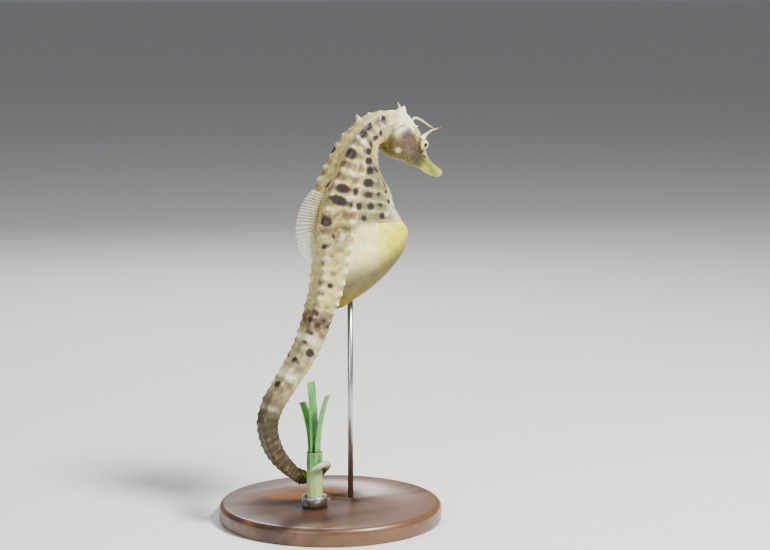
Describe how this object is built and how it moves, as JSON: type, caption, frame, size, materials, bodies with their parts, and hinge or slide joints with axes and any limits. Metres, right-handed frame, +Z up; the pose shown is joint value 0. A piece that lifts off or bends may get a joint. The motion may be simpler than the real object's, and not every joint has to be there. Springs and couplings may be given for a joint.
{
  "type": "seahorse model",
  "caption": "Life-size big-belly seahorse, male with a full brood pouch, tail curled round a cut eelgrass shoot, on a round base with a rod",
  "frame": {"origin": "middle of the underside of the round base", "axes": "+X is the way the animal faces, +Y its left side, +Z up"},
  "size_m": [0.1251, 0.112, 0.2085],
  "materials": {
    "painted_skin": "cast resin, hand painted cream with brown spots, satin",
    "eye": "polished clear resin over a painted iris",
    "cirri": "cast resin, painted off-white",
    "fin_membrane": "thin translucent cast film with raised rays",
    "eelgrass": "cast leaf, green with fine long veins",
    "walnut": "turned walnut, oiled",
    "steel": "brushed stainless rod"
  },
  "bodies": {
    "root": {"head": "painted_skin", "snout": "painted_skin", "neck": "painted_skin", "trunk_upper": "painted_skin", "trunk_lower": "painted_skin", "brood_pouch": "painted_skin", "tail_1": "painted_skin", "tail_2": "painted_skin", "tail_3": "painted_skin", "tail_4": "painted_skin", "tail_5": "painted_skin", "tail_6": "painted_skin", "tail_7": "painted_skin", "eye_right": "eye", "eye_left": "eye", "cirrus_right": "cirri", "cirrus_left": "cirri", "coronet": "cirri", "dorsal_fin": "fin_membrane", "pectoral_fin_right": "fin_membrane", "pectoral_fin_left": "fin_membrane", "anal_fin": "fin_membrane", "eelgrass_sheath": "eelgrass", "eelgrass_blade_1": "eelgrass", "eelgrass_blade_2": "eelgrass", "eelgrass_blade_3": "eelgrass", "stand_base": "walnut", "stand_rod": "steel", "stand_socket": "steel"}
  },
  "joints": []
}
